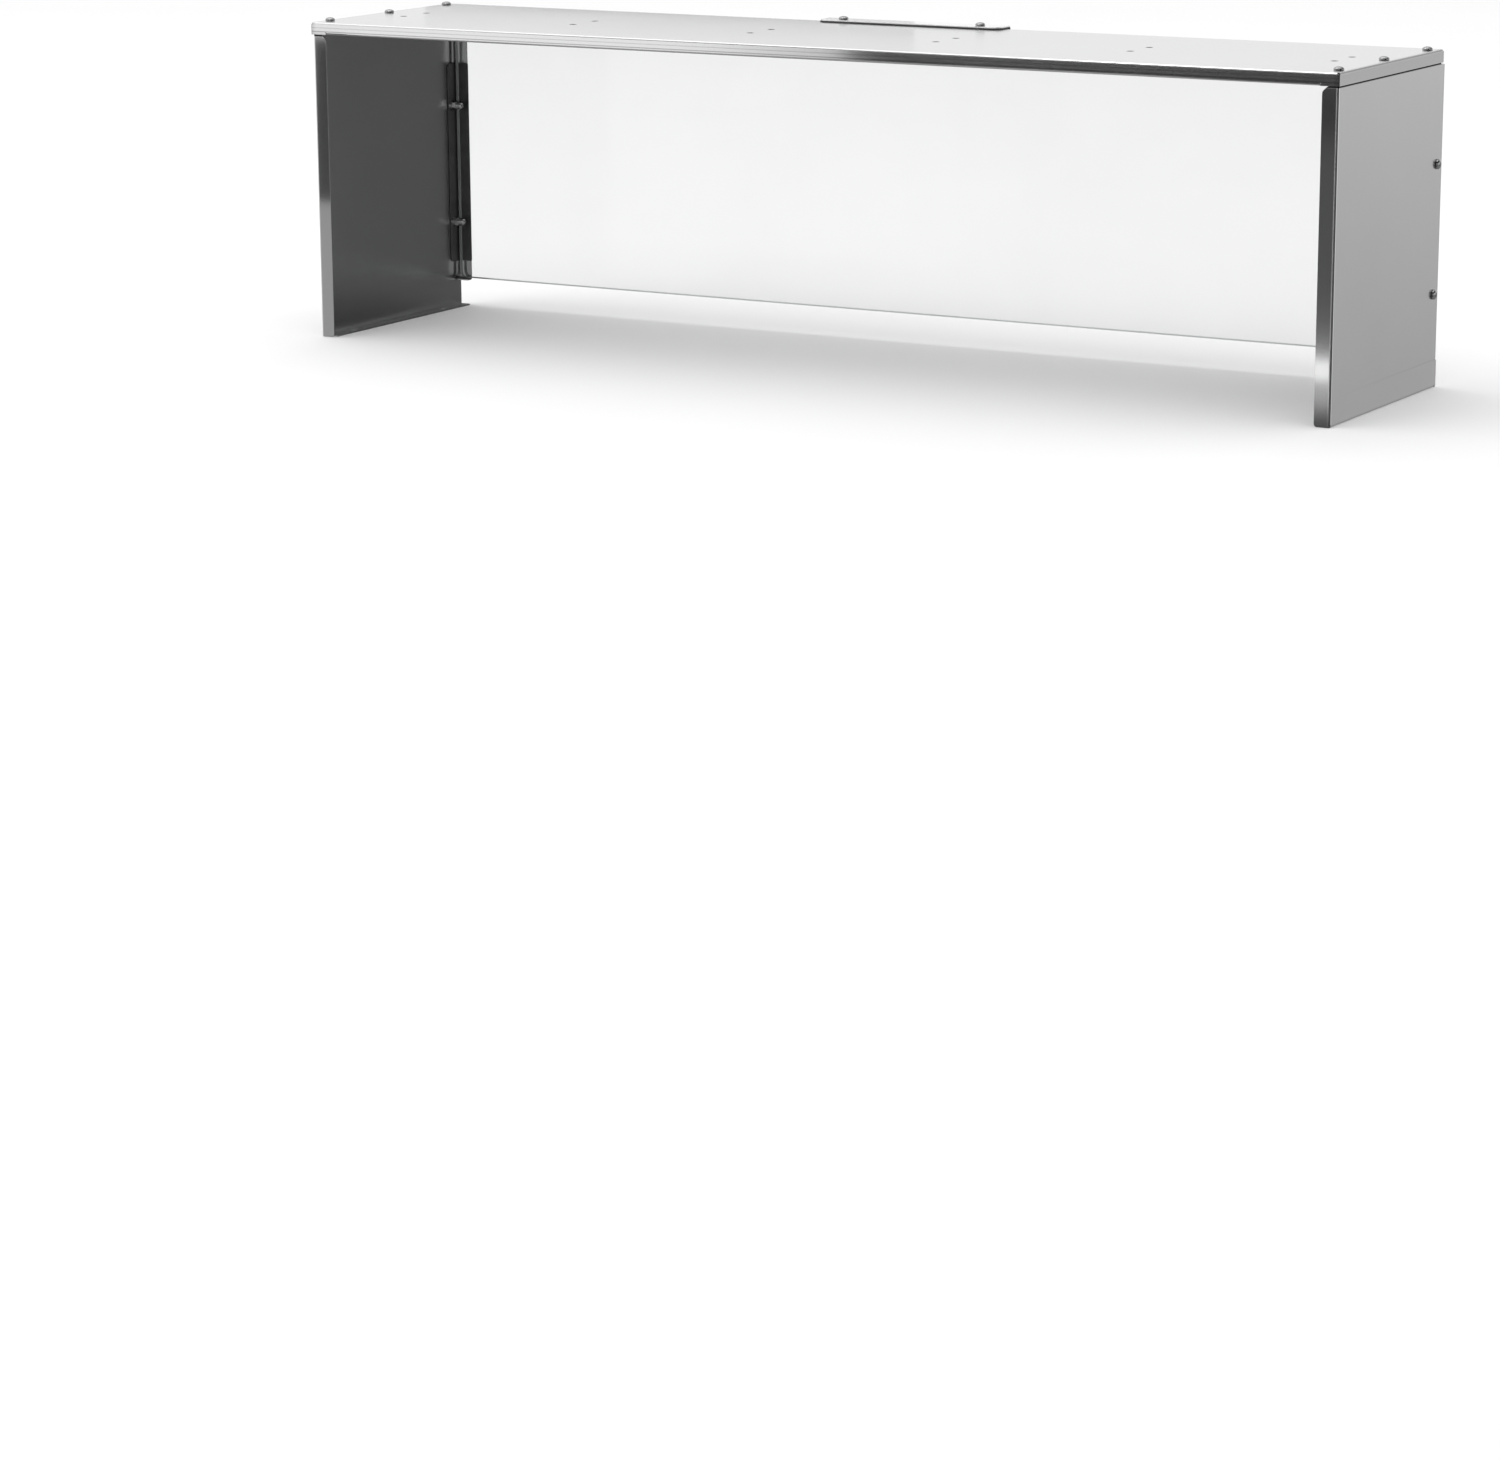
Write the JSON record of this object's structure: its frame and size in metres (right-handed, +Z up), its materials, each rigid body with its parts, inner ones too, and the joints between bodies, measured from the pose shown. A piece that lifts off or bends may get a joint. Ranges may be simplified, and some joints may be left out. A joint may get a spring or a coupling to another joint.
{
  "type": "sneeze guard",
  "caption": "Tabletop sneeze guard: a folded stainless top shelf on two folded end panels, with a clear tempered glass screen clamped across the back.",
  "frame": {"origin": "middle of the footprint, on the counter under the end panels", "axes": "+X along the length, towards the end panel on the right of someone at the open side; +Y from the open side to the glass; +Z up"},
  "size_m": [1.094, 0.25, 0.318],
  "materials": {
    "brushed_steel": "brushed along the length of each sheet",
    "clear_glass": "clear, polished edges",
    "black_rubber": "matt",
    "bright_steel": "polished stainless fasteners"
  },
  "bodies": {
    "root": {"top_panel": "brushed_steel", "right_end_panel": "brushed_steel", "left_end_panel": "brushed_steel", "glass_screen": "clear_glass", "right_glass_pad": "black_rubber", "left_glass_pad": "black_rubber", "right_rest_pad": "black_rubber", "left_rest_pad": "black_rubber", "top_clip": "brushed_steel", "top_clip_pad": "black_rubber", "top_screw_left_front": "bright_steel", "top_nut_left_front": "bright_steel", "top_screw_left_middle": "bright_steel", "top_nut_left_middle": "bright_steel", "top_screw_left_rear": "bright_steel", "top_nut_left_rear": "bright_steel", "top_screw_right_front": "bright_steel", "top_nut_right_front": "bright_steel", "top_screw_right_middle": "bright_steel", "top_nut_right_middle": "bright_steel", "top_screw_right_rear": "bright_steel", "top_nut_right_rear": "bright_steel", "clip_screw_left": "bright_steel", "clip_nut_left": "bright_steel", "clip_screw_right": "bright_steel", "clip_nut_right": "bright_steel", "side_bolt_left_upper": "bright_steel", "flat_washer_left_upper": "bright_steel", "spring_washer_left_upper": "bright_steel", "dome_nut_left_upper": "bright_steel", "side_bolt_left_lower": "bright_steel", "flat_washer_left_lower": "bright_steel", "spring_washer_left_lower": "bright_steel", "dome_nut_left_lower": "bright_steel", "side_bolt_right_upper": "bright_steel", "flat_washer_right_upper": "bright_steel", "spring_washer_right_upper": "bright_steel", "dome_nut_right_upper": "bright_steel", "side_bolt_right_lower": "bright_steel", "flat_washer_right_lower": "bright_steel", "spring_washer_right_lower": "bright_steel", "dome_nut_right_lower": "bright_steel"}
  },
  "joints": []
}
